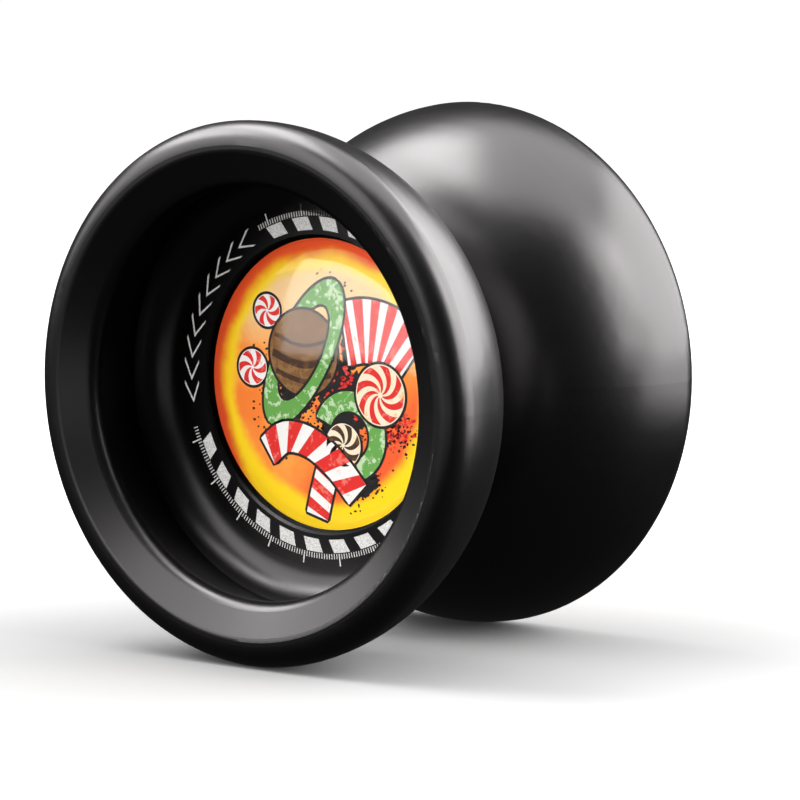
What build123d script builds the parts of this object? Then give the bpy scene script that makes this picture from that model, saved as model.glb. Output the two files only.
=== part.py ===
"""Ball-bearing yo-yo in millimetres.

The spin axis is Y and the origin is the centre of the bearing. The front half is on the -Y side, +Z is up.
Every turned piece is a section revolved about Y. In a section, x is the radius and y the distance from the
middle plane, which each end measures outwards with its own plane.
"""
from build123d import *
from math import atan2, asin, cos, degrees, hypot, pi, sin, sqrt
import os

# Halves: outside
radius = 28.0
half_width = 20.8
half_gap = 2.25
side_arc = 16.9
rim_round = 2.4
rim_land = 0.4
rim_edge = 1.0

# Halves: cup
lip_radius, lip_height = 21.02, 18.84
lip_round = 1.6
corner_radius, corner_height = 23.03, 10.76
corner_round = 0.4
floor_radius, floor_height = 19.2, 7.8
recess_radius, recess_height = 15.4, 6.5
recess_chamfer = 0.25

# Size C ball bearing
bearing_bore = 6.35 / 2
bearing_outside = 12.7 / 2
bearing_half_width = 4.7625 / 2
ball_count = 10
ball_radius = 1.5875 / 2
pitch_radius = (bearing_bore + bearing_outside) / 2
groove_radius = ball_radius + 0.035
inner_land, outer_land = 4.25, 5.25
race_chamfer = 0.2
shield_step_radius, shield_step_height = 5.75, 1.8
shield_bore = 4.4
shield_thickness = 0.2
clip_wire = 0.28
clip_gap_angle = 30
seat_play = 0.01
cage_inside, cage_outside = 4.5, 5.0
cage_back, cage_open_edge = -1.25, 0.45
pocket_radius = ball_radius + 0.055

# Bearing seat and response groove in each half
post_play = 0.015
post_end = 0.25
shoulder_radius = 4.05
pocket_wall, pocket_height = 6.9, 2.65
pad_inside, pad_outside, pad_depth = 7.25, 9.55, 1.1
pad_play = 0.05
pad_sink = 0.05
edge_break = 0.15

# M4 set screw
thread_radius = 2.0
thread_root = 1.6
thread_pitch = 0.7
thread_count = 16
thread_play = 0.02
axle_length = 12.0
socket_flat, socket_depth = 2.0, 2.5

# Badge
badge_radius = 15.2
badge_thickness = 0.35
dome_radius = 15.1
dome_apex = 8.4
dome_shoulder_radius, dome_shoulder_height = 13.9, 7.75

os.makedirs("parts", exist_ok=True)
ends = (("front", -1), ("rear", 1))


def keep(piece, label):
    """Name a finished piece and write it."""
    piece.part.label = label
    export_step(piece.part, f"parts/{label}.step")


def section_plane(side):
    """Plane whose x is the radius and whose y runs outwards from the middle plane on this side."""
    return Plane(origin=(0, 0, 0), x_dir=(1, 0, 0), z_dir=(0, 0, side))


def turned(points, side=1):
    """Piece turned from a straight-sided section."""
    with BuildPart() as piece:
        with BuildSketch(section_plane(side)):
            with BuildLine():
                Polyline(*points, close=True)
            make_face()
        revolve(axis=Axis.Y)
    return piece


# The side arc lies on the flat gap wall and runs tangent into the round of the rim.
rim_centre = (radius - rim_round, half_width - rim_round)
side_centre_height = half_gap + side_arc
rise = rim_centre[1] - side_centre_height
side_centre = (rim_centre[0] - sqrt((side_arc - rim_round) ** 2 - rise ** 2), side_centre_height)
tangent_angle = degrees(atan2(rise, rim_centre[0] - side_centre[0]))

# The dish of the lip is a cone from the inner edge, tangent to the small round inside the rim's flat land.
edge_centre = (rim_centre[0] - rim_land, half_width - rim_edge)
run, climb = edge_centre[0] - lip_radius, edge_centre[1] - lip_height
dish_angle = degrees(atan2(climb, run) + asin(rim_edge / hypot(run, climb)))

# The bowl is an arc that meets the floor smoothly.
bowl_run, bowl_rise = corner_radius - floor_radius, corner_height - floor_height
bowl_arc = (bowl_run ** 2 + bowl_rise ** 2) / (2 * bowl_rise)
bowl_angle = degrees(atan2(bowl_run, bowl_arc - bowl_rise))

post_radius = bearing_bore - post_play
hole_radius = thread_radius + thread_play

for end, side in ends:
    with BuildPart() as half:
        with BuildSketch(section_plane(side)) as half_section:
            with BuildLine():
                seat = Polyline(
                    (hole_radius, recess_height),
                    (hole_radius, post_end),
                    (post_radius, post_end),
                    (post_radius, bearing_half_width),
                    (shoulder_radius, bearing_half_width),
                    (shoulder_radius, pocket_height),
                    (pocket_wall, pocket_height),
                    (pocket_wall, half_gap),
                    (pad_inside, half_gap),
                    (pad_inside, half_gap + pad_depth),
                    (pad_outside, half_gap + pad_depth),
                    (pad_outside, half_gap),
                    (side_centre[0], half_gap),
                )
                CenterArc(side_centre, side_arc, -90, 90 + tangent_angle)
                CenterArc(rim_centre, rim_round, tangent_angle, 90 - tangent_angle)
                Line((rim_centre[0], half_width), (edge_centre[0], half_width))
                edge = CenterArc(edge_centre, rim_edge, 90, dish_angle)
                Polyline(edge @ 1, (lip_radius, lip_height), (corner_radius, corner_height))
                bowl = CenterArc((floor_radius, floor_height + bowl_arc), bowl_arc, -90, bowl_angle)
                Polyline(
                    bowl @ 0,
                    (recess_radius + recess_chamfer, floor_height),
                    (recess_radius, floor_height - recess_chamfer),
                    (recess_radius, recess_height),
                    seat @ 0,
                )
            make_face()
            lip_vertex = half_section.vertices().sort_by_distance((lip_radius, lip_height))[0]
            fillet(lip_vertex, lip_round)
            corner_vertex = half_section.vertices().sort_by_distance((corner_radius, corner_height))[0]
            fillet(corner_vertex, corner_round)
            for mouth in (pocket_wall, pad_inside, pad_outside):
                mouth_vertex = half_section.vertices().sort_by_distance((mouth, half_gap))[0]
                fillet(mouth_vertex, edge_break)
            post_vertex = half_section.vertices().sort_by_distance((post_radius, post_end))[0]
            chamfer(post_vertex, edge_break)
        revolve(axis=Axis.Y)
    keep(half, f"{end}_half")

    # Silicone response pad, just below the gap wall
    groove_floor = half_gap + pad_depth
    pad_section = (
        (pad_inside + pad_play, half_gap + pad_sink),
        (pad_outside - pad_play, half_gap + pad_sink),
        (pad_outside - pad_play, groove_floor),
        (pad_inside + pad_play, groove_floor),
    )
    pad = turned(pad_section, side)
    keep(pad, f"{end}_response_pad")

    # Printed disc in the recess
    badge_top = recess_height + badge_thickness
    badge_section = (
        (0, recess_height),
        (badge_radius, recess_height),
        (badge_radius, badge_top),
        (0, badge_top),
    )
    badge = turned(badge_section, side)
    keep(badge, f"{end}_badge")

    # Clear resin dome over the disc: a nearly flat crown and a round shoulder
    with BuildPart() as dome:
        with BuildSketch(section_plane(side)):
            with BuildLine():
                Line((0, badge_top), (0, dome_apex))
                crown = TangentArc((0, dome_apex), (dome_shoulder_radius, dome_shoulder_height), tangent=(1, 0))
                TangentArc(crown @ 1, (dome_radius, badge_top), tangent=crown % 1)
                Line((dome_radius, badge_top), (0, badge_top))
            make_face()
        revolve(axis=Axis.Y)
    keep(dome, f"{end}_badge_dome")

    # Pressed shield in the step of the outer race, and the split ring that holds it
    shield_back = shield_step_height + shield_thickness
    shield_edge = shield_step_radius - seat_play
    shield_section = (
        (shield_bore, shield_step_height),
        (shield_edge, shield_step_height),
        (shield_edge, shield_back),
        (shield_bore, shield_back),
    )
    shield = turned(shield_section, side)
    keep(shield, f"bearing_{end}_shield")

    with BuildPart() as clip:
        with BuildSketch(section_plane(side)):
            with Locations((shield_edge - clip_wire / 2, shield_back + clip_wire / 2)):
                Rectangle(clip_wire, clip_wire)
        revolve(axis=Axis.Y, revolution_arc=360 - clip_gap_angle)
    keep(clip, f"bearing_{end}_clip")

# Races: the ball track is one round groove shared by both
with BuildPart() as inner_race:
    with BuildSketch():
        with Locations(((bearing_bore + inner_land) / 2, 0)):
            race = Rectangle(inner_land - bearing_bore, 2 * bearing_half_width)
        chamfer(race.vertices(), race_chamfer)
        with Locations((pitch_radius, 0)):
            Circle(groove_radius, mode=Mode.SUBTRACT)
    revolve(axis=Axis.Y)
keep(inner_race, "bearing_inner_race")

with BuildPart() as outer_race:
    with BuildSketch():
        with Locations(((bearing_outside + outer_land) / 2, 0)):
            race = Rectangle(bearing_outside - outer_land, 2 * bearing_half_width)
        chamfer(race.vertices().group_by(Axis.X)[-1], race_chamfer)
        step_depth = bearing_half_width - shield_step_height
        for side in (-1, 1):
            with Locations(((outer_land + shield_step_radius) / 2, side * (shield_step_height + step_depth / 2))):
                Rectangle(shield_step_radius - outer_land, step_depth, mode=Mode.SUBTRACT)
        with Locations((pitch_radius, 0)):
            Circle(groove_radius, mode=Mode.SUBTRACT)
    revolve(axis=Axis.Y)
keep(outer_race, "bearing_outer_race")

# Crown cage: a ring with a pocket round each ball, open towards +Y
with BuildPart() as cage:
    with BuildSketch():
        with Locations(((cage_inside + cage_outside) / 2, (cage_back + cage_open_edge) / 2)):
            Rectangle(cage_outside - cage_inside, cage_open_edge - cage_back)
    revolve(axis=Axis.Y)
    for index in range(ball_count):
        turn = 2 * pi * index / ball_count
        outwards = (cos(turn), 0, sin(turn))
        with BuildSketch(Plane(origin=(0, 0, 0), z_dir=outwards)):
            Circle(pocket_radius)
        extrude(amount=bearing_outside, mode=Mode.SUBTRACT)
keep(cage, "bearing_cage")

for index in range(ball_count):
    turn = 2 * pi * index / ball_count
    with BuildPart() as ball:
        with Locations((pitch_radius * cos(turn), 0, pitch_radius * sin(turn))):
            Sphere(ball_radius)
    keep(ball, f"bearing_ball_{index + 1:02d}")

# Axle: a set screw with its thread as rings at the real pitch, and a hexagon socket in the front end
half_length = axle_length / 2
thread_start = -thread_count * thread_pitch / 2
flank = thread_pitch * 5 / 16
crest = thread_pitch / 8
profile = [(0, -half_length), (thread_root, -half_length)]
for ring in range(thread_count):
    foot = thread_start + ring * thread_pitch
    profile.append((thread_root, foot))
    profile.append((thread_radius, foot + flank))
    profile.append((thread_radius, foot + flank + crest))
    profile.append((thread_root, foot + 2 * flank + crest))
profile += [(thread_root, half_length), (0, half_length)]
with BuildPart() as axle:
    with BuildSketch():
        with BuildLine():
            Polyline(*profile, close=True)
        make_face()
    revolve(axis=Axis.Y)
    with BuildSketch(Plane(origin=(0, -half_length, 0), z_dir=(0, 1, 0))):
        RegularPolygon(socket_flat / 2, 6, major_radius=False)
    extrude(amount=socket_depth, mode=Mode.SUBTRACT)
keep(axle, "axle")
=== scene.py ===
"""Looks for the ball-bearing yo-yo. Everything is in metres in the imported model's own frame."""
import math
import random

import bmesh
import bpy
from mathutils import Matrix, Vector


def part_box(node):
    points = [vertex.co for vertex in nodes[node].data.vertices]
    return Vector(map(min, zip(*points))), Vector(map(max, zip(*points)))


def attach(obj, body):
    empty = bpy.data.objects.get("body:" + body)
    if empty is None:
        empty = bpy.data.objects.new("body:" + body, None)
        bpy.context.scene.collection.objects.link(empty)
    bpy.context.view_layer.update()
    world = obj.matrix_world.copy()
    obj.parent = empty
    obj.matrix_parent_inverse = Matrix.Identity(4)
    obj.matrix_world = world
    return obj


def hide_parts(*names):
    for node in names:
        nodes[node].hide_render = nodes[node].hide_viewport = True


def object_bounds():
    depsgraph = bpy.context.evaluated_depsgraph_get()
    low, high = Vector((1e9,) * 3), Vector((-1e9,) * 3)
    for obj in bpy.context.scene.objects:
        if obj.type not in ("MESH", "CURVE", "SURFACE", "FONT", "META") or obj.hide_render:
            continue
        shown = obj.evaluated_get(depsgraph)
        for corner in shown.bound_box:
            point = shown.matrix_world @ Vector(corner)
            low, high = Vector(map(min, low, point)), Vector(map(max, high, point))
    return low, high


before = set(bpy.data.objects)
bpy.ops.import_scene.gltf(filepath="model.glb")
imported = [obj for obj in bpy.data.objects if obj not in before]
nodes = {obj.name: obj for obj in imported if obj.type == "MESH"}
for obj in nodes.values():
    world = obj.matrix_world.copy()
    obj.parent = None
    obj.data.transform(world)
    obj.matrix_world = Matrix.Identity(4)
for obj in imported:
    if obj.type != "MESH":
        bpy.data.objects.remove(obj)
cad_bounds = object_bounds()
MM = 0.001
TAU = 2 * math.pi

# Each end of the yo-yo, and its side of the middle plane
ENDS = (("front", -1), ("rear", 1))


# ---------------------------------------------------------------- places read from the frame
def radius_of(node):
    """Outer radius of a turned node about the spin axis, in millimetres."""
    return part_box(node)[1][0] / MM


def top_of(node):
    """Furthest distance of a node from the middle plane, in millimetres."""
    return max(abs(corner[1]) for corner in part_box(node)) / MM


BADGE_RADIUS = radius_of("front_badge")
BADGE_TOP = top_of("front_badge")

# Height of the flat floor of the cups over the middle plane, in millimetres
CUP_FLOOR = 7.8


# ---------------------------------------------------------------- camera
AZIMUTH = math.radians(38.216)
ELEVATION = math.radians(6.947)
LENS = 235.5
DISTANCE = 547.606 * MM
AIM_RIGHT = 3.398 * MM
AIM_UP = -2.28 * MM


def make_camera():
    """Long lens a little above the middle of the yo-yo, on the +X side of its front end."""
    right = Vector((math.cos(AZIMUTH), math.sin(AZIMUTH), 0))
    back = Vector((
        math.sin(AZIMUTH) * math.cos(ELEVATION),
        -math.cos(AZIMUTH) * math.cos(ELEVATION),
        math.sin(ELEVATION),
    ))
    up = back.cross(right)
    data = bpy.data.cameras.new("camera")
    data.lens = LENS
    data.sensor_width = 36
    data.clip_start, data.clip_end = 0.01, 50
    camera = bpy.data.objects.new("camera", data)
    bpy.context.scene.collection.objects.link(camera)
    turn = Matrix((right, up, back)).transposed()
    place = right * AIM_RIGHT + up * AIM_UP + back * DISTANCE
    camera.matrix_world = Matrix.Translation(place) @ turn.to_4x4()
    bpy.context.scene.camera = camera


make_camera()


# ---------------------------------------------------------------- material helpers
class Surface:
    """A new material with short calls for its nodes."""

    def __init__(self, name):
        self.material = bpy.data.materials.new(name)
        self.material.use_nodes = True
        self.tree = self.material.node_tree
        self.shader = self.tree.nodes["Principled BSDF"]
        self.output = self.tree.nodes["Material Output"]
        self.place = self.node("ShaderNodeTexCoord").outputs["Object"]

    def node(self, kind, **settings):
        made = self.tree.nodes.new(kind)
        for key, value in settings.items():
            setattr(made, key, value)
        return made

    def link(self, source, target):
        self.tree.links.new(source, target)

    def colour(self, source):
        self.link(source, self.shader.inputs["Base Color"])

    def roughness(self, source):
        self.link(source, self.shader.inputs["Roughness"])

    def set(self, **values):
        """Constant values on the shader's own sockets."""
        for key, value in values.items():
            self.shader.inputs[key.replace("_", " ")].default_value = value

    def feed(self, socket, value):
        """Link a node's output to a socket, or set the socket to a constant."""
        if hasattr(value, "is_linked"):
            self.link(value, socket)
        else:
            socket.default_value = value

    def math(self, operation, first, second=0.0):
        made = self.node("ShaderNodeMath", operation=operation)
        self.feed(made.inputs[0], first)
        self.feed(made.inputs[1], second)
        return made.outputs[0]

    def noise(self, scale, detail, roughness=0.5):
        made = self.node("ShaderNodeTexNoise")
        self.link(self.place, made.inputs["Vector"])
        made.inputs["Scale"].default_value = scale
        made.inputs["Detail"].default_value = detail
        made.inputs["Roughness"].default_value = roughness
        return made.outputs["Fac"]

    def ramp(self, value, *stops):
        """Smooth colour ramp between two (position, colour) stops."""
        made = self.node("ShaderNodeValToRGB")
        made.color_ramp.interpolation = "EASE"
        for element, (position, colour) in zip(made.color_ramp.elements, stops):
            element.position = position
            element.color = (*colour, 1)
        self.link(value, made.inputs["Fac"])
        return made.outputs["Color"]

    def step(self, value, start, end, low=0.0, high=1.0):
        """Smooth change from low to high as value goes from start to end."""
        made = self.node("ShaderNodeMapRange", interpolation_type="SMOOTHSTEP")
        self.link(value, made.inputs["Value"])
        made.inputs["From Min"].default_value = start
        made.inputs["From Max"].default_value = end
        made.inputs["To Min"].default_value = low
        made.inputs["To Max"].default_value = high
        return made.outputs["Result"]

    def mix(self, factor, first, second):
        """Colour that goes from first to second as factor goes from 0 to 1."""
        made = self.node("ShaderNodeMix", data_type="RGBA")
        self.feed(made.inputs["Factor"], factor)
        for socket, value in ((made.inputs[6], first), (made.inputs[7], second)):
            self.feed(socket, (*value, 1) if isinstance(value, tuple) else value)
        return made.outputs[2]

    def bump(self, height, distance, strength):
        """Fine relief of the whole surface, distance deep."""
        made = self.node("ShaderNodeBump")
        self.link(height, made.inputs["Height"])
        made.inputs["Distance"].default_value = distance
        made.inputs["Strength"].default_value = strength
        self.link(made.outputs["Normal"], self.shader.inputs["Normal"])

    def about_axis(self):
        """Distance from the spin axis, and the X and Z of the place."""
        parts = self.node("ShaderNodeSeparateXYZ")
        self.link(self.place, parts.inputs[0])
        x, z = parts.outputs["X"], parts.outputs["Z"]
        square = self.math("ADD", self.math("MULTIPLY", x, x), self.math("MULTIPLY", z, z))
        return self.math("SQRT", square), x, z


# ---------------------------------------------------------------- materials
def anodised():
    """Bead-blasted aluminium, anodised matte black: fine grain in colour, gloss and relief."""
    s = Surface("anodised_black")
    grain = s.noise(6500, 3, 0.6)
    cloud = s.noise(140, 2)
    s.colour(s.ramp(grain, (0.3, (0.0012, 0.0012, 0.0014)), (0.72, (0.0045, 0.0043, 0.0045))))
    fine = s.step(grain, 0.3, 0.7, 0.285, 0.335)
    broad = s.step(cloud, 0.3, 0.7, -0.01, 0.01)
    s.roughness(s.math("ADD", fine, broad))
    s.set(Metallic=0.0, IOR=1.9, Specular_Tint=(1.0, 0.955, 0.965, 1))
    s.bump(grain, 0.010 * MM, 0.35)
    return s.material


def ink():
    """Screen-printed grey-white ink on the blasted surface: the grain shows through."""
    s = Surface("print_ink")
    grain = s.noise(7000, 3, 0.7)
    s.colour(s.ramp(grain, (0.36, (0.40, 0.39, 0.38)), (0.58, (0.66, 0.65, 0.63))))
    s.set(Roughness=0.55)
    s.bump(grain, 0.006 * MM, 0.4)
    return s.material


def badge_field():
    """Printed background of the badge: orange centre and red edge, in brushed washes, with light of the
    dome painted over it: a yellow ring of painted caustic light, a cream painted reflection towards the
    top, and painted shade widening the dark red edge towards -X and up.
    """
    dark_orange, orange, red_orange = (0.95, 0.22, 0.03), (1.0, 0.36, 0.06), (0.86, 0.11, 0.025)
    cream, yellow, red = (0.92, 0.66, 0.33), (1.0, 0.66, 0.008), (0.80, 0.075, 0.012)
    s = Surface("badge_field")
    radius, x, z = s.about_axis()
    wash = s.noise(170, 4, 0.6)
    wobble = s.math("MULTIPLY", s.math("SUBTRACT", wash, 0.5), 2.2 * MM)
    uneven_radius = s.math("ADD", radius, wobble)
    field = s.mix(s.step(wash, 0.35, 0.65), dark_orange, orange)

    # Redder towards +X and down, and a cream painted reflection of a softbox in the dome towards the top
    downwards = s.math("SUBTRACT", s.math("MULTIPLY", x, 0.6), s.math("MULTIPLY", z, 0.8))
    field = s.mix(s.step(downwards, 3.5 * MM, 10 * MM), field, red_orange)
    reflection_height = s.math("ADD", z, s.math("MULTIPLY", wobble, 2))
    pale = s.math("MULTIPLY", s.step(reflection_height, 2.5 * MM, 8 * MM), 0.85)
    field = s.mix(pale, field, cream)

    # Yellow ring of painted caustic light inside the edge
    colour = s.mix(s.step(uneven_radius, 11.6 * MM, 13.2 * MM), field, yellow)
    # The dark red edge is partly print and partly painted shade of the dome's edge, widest towards -X and
    # up
    away = s.math("SUBTRACT", s.math("MULTIPLY", z, 0.75), s.math("MULTIPLY", x, 0.66))
    shade_widening = s.step(away, -8 * MM, 9 * MM, -1.2 * MM, 0.9 * MM)
    edge = s.step(s.math("ADD", uneven_radius, shade_widening), 13.7 * MM, 15.4 * MM)
    s.colour(s.mix(edge, colour, red))
    s.set(Roughness=0.45)
    return s.material


def paint(name, colour, fleck, share):
    """A flat print colour with worn flecks of a second colour in a rough share of it."""
    s = Surface(name)
    patch = s.noise(1100, 5, 0.7)
    edge = 0.5 + (0.5 - share) * 0.4
    s.colour(s.mix(s.step(patch, edge - 0.02, edge + 0.02), colour, fleck))
    s.set(Roughness=0.5)
    return s.material


# Largest share of the light that the dome mirrors, at its steep shoulder
MOST_DOME_GLOSS = 0.22


def resin():
    """Clear gloss dome: what is under it shows through, and the lights mirror in it."""
    s = Surface("clear_resin")
    clear = s.node("ShaderNodeBsdfTransparent")
    gloss = s.node("ShaderNodeBsdfGlossy")
    gloss.inputs["Roughness"].default_value = 0.06
    ripple = s.node("ShaderNodeBump")
    s.link(s.noise(60, 1), ripple.inputs["Height"])
    ripple.inputs["Distance"].default_value = 0.02 * MM
    s.link(ripple.outputs["Normal"], gloss.inputs["Normal"])
    fresnel = s.node("ShaderNodeFresnel")
    fresnel.inputs["IOR"].default_value = 1.5
    blend = s.node("ShaderNodeMixShader")
    s.link(s.math("MINIMUM", fresnel.outputs[0], MOST_DOME_GLOSS), blend.inputs[0])
    s.link(clear.outputs[0], blend.inputs[1])
    s.link(gloss.outputs[0], blend.inputs[2])
    s.link(blend.outputs[0], s.output.inputs["Surface"])
    s.tree.nodes.remove(s.shader)
    return s.material


def clear_underside():
    """The flat back of the dome, bonded to the print: nothing mirrors there."""
    s = Surface("clear_underside")
    s.link(s.node("ShaderNodeBsdfTransparent").outputs[0], s.output.inputs["Surface"])
    s.tree.nodes.remove(s.shader)
    return s.material


# Pitch of the turning rings on the races and shields, in millimetres
RING_PITCH = 0.06


def steel(name, colour, roughness, rings=0.0):
    """Bearing steel, with turning rings of this depth in millimetres where rings is above 0."""
    s = Surface(name)
    grain = s.noise(9000, 3)
    s.colour(s.mix(grain, tuple(c * 0.92 for c in colour), colour))
    s.roughness(s.step(grain, 0.3, 0.7, roughness * 0.92, roughness * 1.08))
    s.set(Metallic=1.0)
    if rings:
        radius = s.about_axis()[0]
        wave = s.math("SINE", s.math("MULTIPLY", radius, TAU / (RING_PITCH * MM)))
        s.bump(wave, rings * MM, 0.5)
    return s.material


def silicone():
    """Milky silicone of the response pads, finely speckled."""
    s = Surface("silicone_pad")
    speck = s.noise(1800, 4, 0.7)
    s.colour(s.mix(speck, (0.62, 0.62, 0.6), (0.8, 0.8, 0.78)))
    s.set(Roughness=0.62, Subsurface_Weight=0.15, Subsurface_Scale=0.0006)
    s.bump(speck, 0.01 * MM, 0.5)
    return s.material


def dress(node, material):
    """Give the whole of a node one material."""
    for slot in nodes[node].material_slots:
        slot.material = material


ANODISED = anodised()
INK = ink()
RESIN = resin()
UNDERSIDE = clear_underside()
FIELD = badge_field()
RACE = steel("ground_steel", (0.62, 0.62, 0.64), 0.28, 0.0002)
BALL = steel("ball_steel", (0.8, 0.8, 0.82), 0.08)
CAGE = steel("pressed_steel", (0.55, 0.53, 0.5), 0.35)
SCREW = steel("black_steel", (0.08, 0.08, 0.085), 0.4)
SILICONE = silicone()
for end, side in ENDS:
    dress(f"{end}_half", ANODISED)
    dress(f"{end}_badge", FIELD)
    # Neither the badge nor the ink is mirrored in the walls of the cup
    nodes[f"{end}_badge"].visible_glossy = False
    dress(f"{end}_response_pad", SILICONE)
    dress(f"bearing_{end}_shield", RACE)
    dress(f"bearing_{end}_clip", CAGE)
for race in ("bearing_inner_race", "bearing_outer_race"):
    dress(race, RACE)
dress("bearing_cage", CAGE)
dress("axle", SCREW)
for name in nodes:
    if name.startswith("bearing_ball"):
        dress(name, BALL)


# ---------------------------------------------------------------- flat print shapes
# The badge and the ink of each end, which its badge spot lights
printed = {end: [nodes[f"{end}_badge"]] for end, side in ENDS}


def on_disc(side, height, across, up):
    """Point at a height over the middle plane, across to the right and up as seen from outside."""
    return Vector((-side * across, side * height, up)) * MM


def print_layer(name, end, side, shapes, thickness, material):
    """One piece of ink: thin closed prisms, each a height and an outline in mm, seen from outside."""
    mesh = bpy.data.meshes.new(name)
    made = bmesh.new()
    for height, outline in shapes:
        bottom = [made.verts.new(on_disc(side, height, *point)) for point in outline]
        top = [made.verts.new(on_disc(side, height + thickness, *point)) for point in outline]
        made.faces.new(top)
        made.faces.new(bottom[::-1])
        for index in range(len(outline)):
            after = (index + 1) % len(outline)
            made.faces.new((bottom[index], bottom[after], top[after], top[index]))
    bmesh.ops.recalc_face_normals(made, faces=made.faces)
    made.to_mesh(mesh)
    made.free()
    mesh.materials.append(material)
    piece = bpy.data.objects.new(name, mesh)
    bpy.context.scene.collection.objects.link(piece)
    piece.visible_glossy = False
    printed[end].append(piece)
    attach(piece, end)


def at(radius, degrees):
    """Point at a radius and at an angle from across towards up."""
    angle = math.radians(degrees)
    return radius * math.cos(angle), radius * math.sin(angle)


def ring_block(inner, outer, start, end, skew=0.0, steps=4):
    """Block between two radii and two angles; skew turns the outer edge on."""
    outside = [at(outer, start + skew + (end - start) * i / steps) for i in range(steps + 1)]
    inside = [at(inner, start + (end - start) * i / steps) for i in range(steps + 1)]
    return outside + inside[::-1]


def tick(inner, outer, angle, width):
    """Straight radial line."""
    half = math.degrees(width / 2 / inner)
    return ring_block(inner, outer, angle - half, angle + half, 0, 1)


def chevron(radius, angle, size, stroke):
    """Arrow stroke pointing along the ring."""
    half = size / 2
    spread = math.degrees(half / radius)
    wide = math.degrees(stroke * 1.4 / radius)
    tip = angle + spread
    tail = angle - spread
    return [
        at(radius - half, tail), at(radius, tip), at(radius + half, tail),
        at(radius + half, tail - wide), at(radius, tip - wide), at(radius - half, tail - wide),
    ]


# ---------------------------------------------------------------- printed scale in the cup
INK_THICKNESS = 0.02
BLOCK_INNER, BLOCK_OUTER = 16.11, 17.49
BLOCK_START, BLOCK_END, BLOCK_COUNT = 206.5, 470.0, 23
BLOCK_WIDTH, BLOCK_SKEW = 7.0, 2.0
TICK_INNER, TICK_OUTER, LONG_TICK_OUTER = 17.6, 18.15, 18.9
TICK_START, TICK_END = 198.0, 478.3
LONG_START, LONG_END, LONG_COUNT = 203.0, 473.0, 19
TICKS_PER_LONG = 14
TICK_WIDTH, LONG_TICK_WIDTH = 0.10, 0.15
CHEVRON_START, CHEVRON_END, CHEVRON_COUNT = 126.0, 187.0, 9
CHEVRON_RADIUS, CHEVRON_SIZE, CHEVRON_STROKE = 17.5, 1.9, 0.3


def scale_outlines():
    """Ring of blocks with a fine scale round them, and a row of arrow strokes in the gap."""
    outlines = []
    for index in range(BLOCK_COUNT):
        middle = BLOCK_START + (BLOCK_END - BLOCK_START) * index / (BLOCK_COUNT - 1)
        start = middle - (BLOCK_WIDTH + BLOCK_SKEW) / 2
        outlines.append(ring_block(BLOCK_INNER, BLOCK_OUTER, start, start + BLOCK_WIDTH, BLOCK_SKEW))
    pitch = (LONG_END - LONG_START) / (LONG_COUNT - 1)
    fine = pitch / TICKS_PER_LONG
    first = math.ceil((TICK_START - LONG_START) / fine)
    last = math.floor((TICK_END - LONG_START) / fine)
    for index in range(first, last + 1):
        angle = LONG_START + index * fine
        if index % TICKS_PER_LONG:
            outlines.append(tick(TICK_INNER, TICK_OUTER, angle, TICK_WIDTH))
        else:
            outlines.append(tick(TICK_INNER, LONG_TICK_OUTER, angle, LONG_TICK_WIDTH))
    for index in range(CHEVRON_COUNT):
        angle = CHEVRON_START + (CHEVRON_END - CHEVRON_START) * index / (CHEVRON_COUNT - 1)
        outlines.append(chevron(CHEVRON_RADIUS, angle, CHEVRON_SIZE, CHEVRON_STROKE))
    return outlines


for end, side in ENDS:
    shapes = [(CUP_FLOOR, outline) for outline in scale_outlines()]
    print_layer(f"{end}_scale_print", end, side, shapes, INK_THICKNESS, INK)


# ---------------------------------------------------------------- clear domes
DOME_BASE = 7.0
DOME_CROWN, DOME_SHOULDER = 0.62, 0.78
DOME_RINGS, DOME_SEGMENTS = 40, 160


def dome_height(share):
    """Height over the base at this share of the radius: a round shoulder and a shallow crown."""
    return DOME_SHOULDER * math.sqrt(max(0.0, 1 - share ** 9)) + DOME_CROWN * (1 - share ** 2)


def make_dome(end, side):
    """Clear dome as a finely divided turned mesh, with a flat back of its own material."""
    radius = radius_of(f"{end}_badge_dome")
    made = bmesh.new()
    rings = []
    for index in range(1, DOME_RINGS + 1):
        share = math.sin(TAU / 4 * index / DOME_RINGS)
        height = DOME_BASE + dome_height(share)
        places = [at(radius * share, 360 * k / DOME_SEGMENTS) for k in range(DOME_SEGMENTS)]
        rings.append([made.verts.new(on_disc(side, height, *place)) for place in places])
    apex = made.verts.new(on_disc(side, DOME_BASE + dome_height(0), 0, 0))
    for k in range(DOME_SEGMENTS):
        after = (k + 1) % DOME_SEGMENTS
        made.faces.new((apex, rings[0][k], rings[0][after]))
        for inner, outer in zip(rings, rings[1:]):
            made.faces.new((inner[k], outer[k], outer[after], inner[after]))
    back = made.faces.new(rings[-1])
    bmesh.ops.recalc_face_normals(made, faces=made.faces)
    for face in made.faces:
        face.smooth = face != back
    back.material_index = 1
    mesh = bpy.data.meshes.new(f"{end}_dome")
    made.to_mesh(mesh)
    made.free()
    mesh.materials.append(RESIN)
    mesh.materials.append(UNDERSIDE)
    piece = bpy.data.objects.new(f"{end}_dome", mesh)
    bpy.context.scene.collection.objects.link(piece)
    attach(piece, end)
    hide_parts(f"{end}_badge_dome")
    return piece


domes = [make_dome(end, side) for end, side in ENDS]


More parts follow.
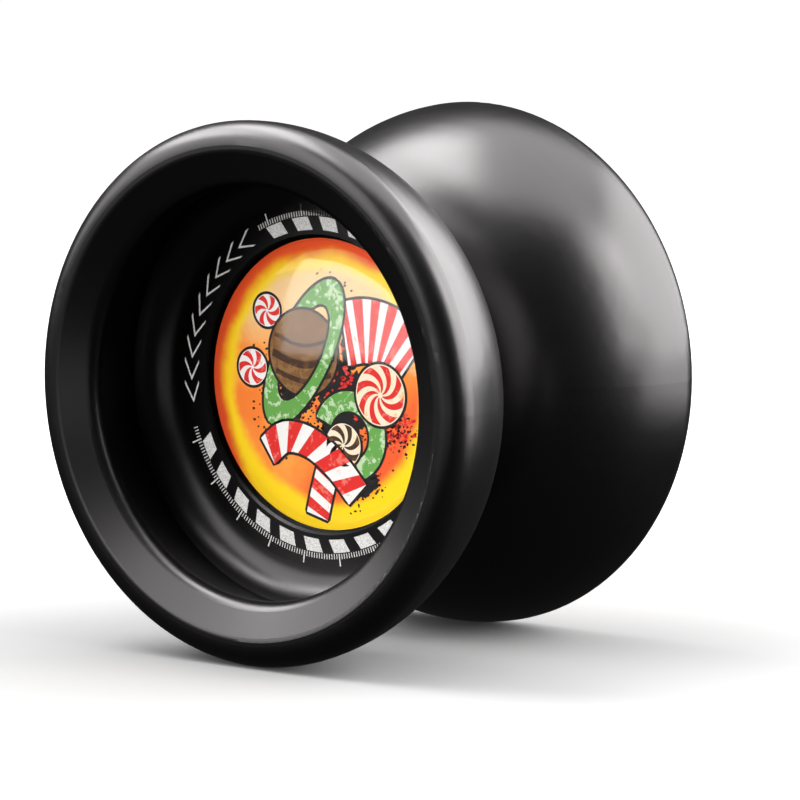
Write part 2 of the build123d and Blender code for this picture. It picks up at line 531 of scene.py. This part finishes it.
# ---------------------------------------------------------------- badge picture: sweets and a ringed planet
# Step in height from one layer to the next, thickness of a layer and width of the black outlines
LEVEL = 0.011
INK_FILM = 0.008
OUTLINE = 0.3
PAINTS = {
    "black": paint("art_black", (0.010, 0.008, 0.008), (0.05, 0.02, 0.015), 0.2),
    "red": paint("art_red", (0.72, 0.022, 0.018), (0.82, 0.16, 0.12), 0.3),
    "white": paint("art_white", (0.88, 0.85, 0.82), (0.82, 0.50, 0.46), 0.16),
    "green": paint("art_green", (0.13, 0.36, 0.07), (0.52, 0.68, 0.42), 0.38),
    "brown": paint("art_brown", (0.20, 0.088, 0.026), (0.27, 0.14, 0.05), 0.45),
    "dark_brown": paint("art_dark_brown", (0.055, 0.024, 0.012), (0.12, 0.055, 0.022), 0.4),
    "cream": paint("art_cream", (0.88, 0.76, 0.56), (0.90, 0.58, 0.28), 0.25),
}


def oval(centre, wide, tall=None, tilt=0.0, start=0.0, end=360.0, steps=64):
    """Points round an ellipse, or along part of it."""
    tall = wide if tall is None else tall
    turn = math.radians(tilt)
    last = steps if end - start >= 360 else steps + 1
    points = []
    for index in range(last):
        angle = math.radians(start + (end - start) * index / steps)
        x, y = wide * math.cos(angle), tall * math.sin(angle)
        across = centre[0] + x * math.cos(turn) - y * math.sin(turn)
        up = centre[1] + x * math.sin(turn) + y * math.cos(turn)
        points.append((across, up))
    return points


def band(centre, wide, tall, inner, tilt, start, end):
    """Part of an elliptical band; inner is the share of its hole."""
    outside = oval(centre, wide, tall, tilt, start, end)
    inside = oval(centre, wide * inner, tall * inner, tilt, start, end)
    return outside + inside[::-1]


def wedge(centre, radius, start, width, twist, steps=14):
    """Curved wedge of a pinwheel sweet, from near its centre to its rim."""
    shares = [0.1 + 0.9 * index / steps for index in range(steps + 1)]
    one = [at(radius * share, start + twist * share) for share in shares]
    rim = [at(radius, start + twist + width * index / 4) for index in range(1, 4)]
    other = [at(radius * share, start + width + twist * share) for share in reversed(shares)]
    return [(centre[0] + x, centre[1] + y) for x, y in one + rim + other]


def along(points, share):
    """Point and direction at a share of a smooth line through the points (Catmull-Rom)."""
    spans = len(points) - 1
    span = min(int(share * spans), spans - 1)
    t = share * spans - span
    a, b, c, d = (Vector(points[max(0, min(spans, span + k))]) for k in (-1, 0, 1, 2))
    first, second, third = c - a, 2 * a - 5 * b + 4 * c - d, 3 * b - a - 3 * c + d
    place = b + (first * t + second * t ** 2 + third * t ** 3) / 2
    way = first + 2 * second * t + 3 * third * t ** 2
    return place, way.normalized()


def ribbon(points, width, first=0.0, last=1.0, slant=0.0, steps=10):
    """Stretch of a ribbon between two shares of its line; slant leans its ends."""
    edges = []
    for hand in (1, -1):
        edge = []
        for index in range(steps + 1):
            share = first + (last - first) * index / steps + hand * slant
            place, way = along(points, min(1.0, max(0.0, share)))
            edge.append(tuple(place + Vector((-way.y, way.x)) * hand * width / 2))
        edges.append(edge)
    return edges[0] + edges[1][::-1]


def grown(outline, by):
    """The same outline moved outwards."""
    count = len(outline)
    sides = zip(outline[-1:] + outline[:-1], outline)
    area = sum(one[0] * other[1] - other[0] * one[1] for one, other in sides)
    hand = by if area > 0 else -by
    points = []
    for index in range(count):
        before, after = Vector(outline[index - 1]), Vector(outline[(index + 1) % count])
        way = (after - before).normalized()
        points.append(tuple(Vector(outline[index]) + Vector((way.y, -way.x)) * hand))
    return points


def blot(chance, centre, radius, ragged, lobes=3, steps=72):
    """Ink blot with a ragged edge."""
    points = []
    for index in range(steps):
        angle = TAU * index / steps
        reach = radius * (1 + chance.uniform(-ragged, ragged) + 0.18 * math.sin(lobes * angle + 1))
        points.append((centre[0] + reach * math.cos(angle), centre[1] + reach * math.sin(angle)))
    return points


# Clear width between the flecks and the edge of the badge, in millimetres
FLECK_MARGIN = 0.8


def flecks(chance, centre, reach, spread, count, size):
    """Small uneven dabs scattered from a distance outwards, thinning out, clear of the badge's edge."""
    dabs = []
    while len(dabs) < count:
        angle = chance.random() * TAU
        distance = reach + abs(chance.gauss(0, spread))
        place = (centre[0] + distance * math.cos(angle), centre[1] + distance * math.sin(angle))
        if math.hypot(*place) < BADGE_RADIUS - FLECK_MARGIN:
            dabs.append(blot(chance, place, size * chance.uniform(0.35, 1.0), 0.35, 2, 6))
    return dabs


class Picture:
    """Shapes of the badge picture by colour, each at a level over the printed field."""

    def __init__(self):
        self.shapes = {name: [] for name in PAINTS}

    def add(self, colour, level, *outlines):
        height = BADGE_TOP + LEVEL * (level + 0.2)
        self.shapes[colour] += [(height, outline) for outline in outlines]

    def stamp(self, colour, level, *outlines):
        """Filled shapes with a black outline."""
        self.add("black", level, *(grown(outline, OUTLINE) for outline in outlines))
        self.add(colour, level + 1, *outlines)

    def striped(self, points, width, stripes, slant, level):
        """White ribbon with red stripes across it."""
        self.stamp("white", level, ribbon(points, width, steps=24))
        for index in range(stripes):
            middle = (index + 0.5) / stripes
            half = 0.27 / stripes
            self.add("red", level + 2, ribbon(points, width, middle - half, middle + half, slant))

    def pinwheel(self, ground, colour, centre, radius, wedges, twist, level):
        """Round sweet with curved wedges."""
        self.stamp(ground, level, oval(centre, radius))
        pitch = 360 / wedges
        for index in range(wedges):
            self.add(colour, level + 2, wedge(centre, radius * 0.96, pitch * index, pitch / 2, twist))


def badge_picture():
    """Shapes of the whole picture: centres and sizes in mm, seen from outside the end."""
    chance = random.Random(7)
    picture = Picture()

    # Ink blots behind everything, and flecks round them: centre, reach, spread and count
    for centre, radius in (((2.5, -1.6), 4.2), ((3.6, 3.6), 1.8), ((-4.2, -2.2), 1.9), ((5.2, -9.8), 1.5)):
        picture.add("black", 0, blot(chance, centre, radius, 0.10))
    speckled = (
        ((2.5, -1.6), 3.9, 1.3, 220),
        ((-5.6, -2.6), 1.2, 1.9, 130),
        ((9.0, -4.2), 0.4, 1.6, 150),
        ((4.6, -9.9), 1.3, 1.2, 80),
        ((1.2, 9.6), 0.3, 1.1, 60),
        ((-8.6, 0.2), 1.0, 1.4, 50),
    )
    for centre, reach, spread, count in speckled:
        picture.add("black", 0, *flecks(chance, centre, reach, spread, count, 0.2))
    picture.add("red", 1, *flecks(chance, (2.9, -0.4), 0.4, 1.9, 70, 0.32))
    picture.add("red", 1, *flecks(chance, (9.0, -4.2), 0.4, 1.5, 70, 0.26))

    # Ringed planet: the far half of the ring, the striped globe, and the near half over it
    planet, planet_radius = (-3.0, 3.1), 4.5
    ring = (planet, 8.9, 3.5, 0.66, 60)
    seam = 8
    picture.stamp("green", 1, band(*ring, 0, 180))
    picture.stamp("brown", 3, oval(planet, planet_radius))
    for lift, bend, width in ((-2.1, 0.9, 0.55), (-0.2, 1.1, 0.8), (1.7, 1.0, 0.45)):
        reach = math.sqrt(planet_radius ** 2 - lift ** 2) * 0.93
        stripe = (
            (planet[0] - reach, planet[1] + lift),
            (planet[0], planet[1] + lift - bend),
            (planet[0] + reach, planet[1] + lift),
        )
        picture.add("dark_brown", 5, ribbon(stripe, width))
    picture.add("black", 6, grown(band(*ring, 180, 360), OUTLINE))
    picture.add("green", 7, band(*ring, 180 - seam, 360 + seam))

    # Striped flag and the large pinwheel sweet over its corner
    picture.striped(((2.4, 5.4), (5.4, 5.9), (8.6, 5.2), (11.2, 3.2)), 6.6, 6, 0.0, 1)
    picture.pinwheel("cream", "red", (7.2, -0.6), 3.2, 8, 70, 5)

    # Green curl round the dark pinwheel sweet
    picture.stamp("green", 3, band((3.1, -5.2), 4.7, 4.7, 0.56, 0, -72, 158))
    picture.pinwheel("cream", "dark_brown", (2.3, -6.2), 2.3, 7, 60, 6)

    # Striped ribbon: the hanging end, then the arch over it
    picture.striped(((0.3, -8.6), (-0.5, -11.2), (-1.2, -13.9)), 2.9, 3, 0.07, 1)
    picture.striped(((-7.8, -7.6), (-5.4, -5.9), (-2.0, -6.3), (1.4, -8.4), (4.2, -11.2)), 3.2, 5, 0.05, 7)

    # Two small pinwheel sweets
    picture.pinwheel("white", "red", (-7.9, 7.2), 1.7, 6, 50, 1)
    picture.pinwheel("white", "red", (-9.9, 1.1), 1.9, 6, 50, 1)
    return picture.shapes


for end, side in ENDS:
    for colour, shapes in badge_picture().items():
        print_layer(f"{end}_print_{colour}", end, side, shapes, INK_FILM, PAINTS[colour])


# ---------------------------------------------------------------- floor, world and lights
def make_floor():
    """Wide pale floor at the object's lowest point, plain white away from the object."""
    mesh = bpy.data.meshes.new("floor")
    size, level = 12.0, cad_bounds[0].z
    corners = [(-size, -size, level), (size, -size, level), (size, size, level), (-size, size, level)]
    mesh.from_pydata(corners, [], [(0, 1, 2, 3)])
    floor = bpy.data.objects.new("floor", mesh)
    bpy.context.scene.collection.objects.link(floor)
    s = Surface("floor_white")
    distance = s.node("ShaderNodeVectorMath", operation="LENGTH")
    s.link(s.place, distance.inputs[0])
    glow = s.step(distance.outputs["Value"], 0.04, 0.16, 0.02, 1.0)
    s.set(Base_Color=(0.5, 0.5, 0.5, 1), Roughness=1.0, Specular_IOR_Level=0.0)
    s.set(Emission_Color=(1, 1, 1, 1))
    s.link(glow, s.shader.inputs["Emission Strength"])
    mesh.materials.append(s.material)
    floor.visible_glossy = False
    floor.visible_diffuse = False


def make_world():
    """White backdrop to the camera, and almost no light from it."""
    world = bpy.data.worlds.new("studio")
    bpy.context.scene.world = world
    world.use_nodes = True
    tree = world.node_tree
    backdrop = tree.nodes["Background"]
    backdrop.inputs["Color"].default_value = (1, 1, 1, 1)
    dim = tree.nodes.new("ShaderNodeBackground")
    dim.inputs["Color"].default_value = (0.02, 0.02, 0.02, 1)
    path = tree.nodes.new("ShaderNodeLightPath")
    blend = tree.nodes.new("ShaderNodeMixShader")
    tree.links.new(path.outputs["Is Camera Ray"], blend.inputs[0])
    tree.links.new(dim.outputs[0], blend.inputs[1])
    tree.links.new(backdrop.outputs[0], blend.inputs[2])
    tree.links.new(blend.outputs[0], tree.nodes["World Output"].inputs["Surface"])


def add_light(name, data, target, way, distance):
    """Put a light at a distance from its target, facing it."""
    light = bpy.data.objects.new(name, data)
    bpy.context.scene.collection.objects.link(light)
    turn = way.to_track_quat("Z", "Y").to_matrix().to_4x4()
    light.matrix_world = Matrix.Translation(target + way * distance) @ turn
    return light


def softbox(name, azimuth, elevation, distance, width, height, radiance):
    """Area light that faces the object, in degrees and metres; azimuth 0 is in front and 90 towards +X."""
    data = bpy.data.lights.new(name, "AREA")
    data.shape = "RECTANGLE"
    data.size, data.size_y = width, height
    data.energy = radiance * math.pi * width * height
    turn, lift = math.radians(azimuth), math.radians(elevation)
    way = Vector((math.sin(turn) * math.cos(lift), -math.cos(turn) * math.cos(lift), math.sin(lift)))
    light = add_light(name, data, Vector((0, 0, 0)), way, distance)
    light.visible_camera = False
    return light


def spot(name, target, direction, distance, cone, irradiance):
    """Lamp aimed at a point; irradiance is what it gives a surface that faces it there."""
    data = bpy.data.lights.new(name, "SPOT")
    data.spot_size, data.spot_blend = math.radians(cone), 1.0
    data.shadow_soft_size = 0.002
    data.energy = 4 * math.pi * distance ** 2 * irradiance
    return add_light(name, data, target, Vector(direction).normalized(), distance)


def light_only(light, pieces):
    """Keep a light to some pieces, as a flag on a stand would."""
    group = bpy.data.collections.new(f"{light.name}_receivers")
    for piece in pieces:
        group.objects.link(piece)
    light.light_linking.receiver_collection = group


BADGE_IRRADIANCE = {"front": 3.5, "rear": 2.4}
GLINT_AZIMUTH = {"front": 332, "rear": 152}


def make_lights():
    """Soft boxes round the object, and for each end a lamp on the badge and a gloss light on the dome."""
    # azimuth, elevation, distance, width, height, radiance
    softbox("right_box", 135, 28, 0.40, 0.48, 0.38, 4.9)
    softbox("right_front_box", 92, 29, 0.40, 0.15, 0.37, 3.8)
    softbox("low_right_box", 122, -4, 0.40, 0.37, 0.12, 2.2)
    back_box = softbox("back_box", 177, 28, 0.40, 0.15, 0.36, 2.9)
    softbox("left_high_box", 288, 52, 0.40, 0.29, 0.34, 5.6)
    softbox("front_left_box", 316, 25, 0.42, 0.57, 0.30, 1.75)
    softbox("low_front_box", 5, -4, 0.42, 0.40, 0.10, 0.35)
    softbox("top_box", 220, 84, 0.40, 0.50, 0.50, 2.3)
    light_only(back_box, [nodes["front_half"]])
    for end, side in ENDS:
        aim = on_disc(side, BADGE_TOP, 4, -5)
        way = (-0.30 * side, 0.9 * side, 0.32)
        lamp = spot(f"{end}_badge_spot", aim, way, distance=0.6, cone=7.0, irradiance=BADGE_IRRADIANCE[end])
        light_only(lamp, printed[end])
        glint = softbox(f"{end}_dome_glint", GLINT_AZIMUTH[end], 3, 0.40, 0.20, 0.105, 5.0)
        light_only(glint, domes)


make_floor()
make_world()
make_lights()
bpy.context.scene.view_settings.view_transform = "Standard"
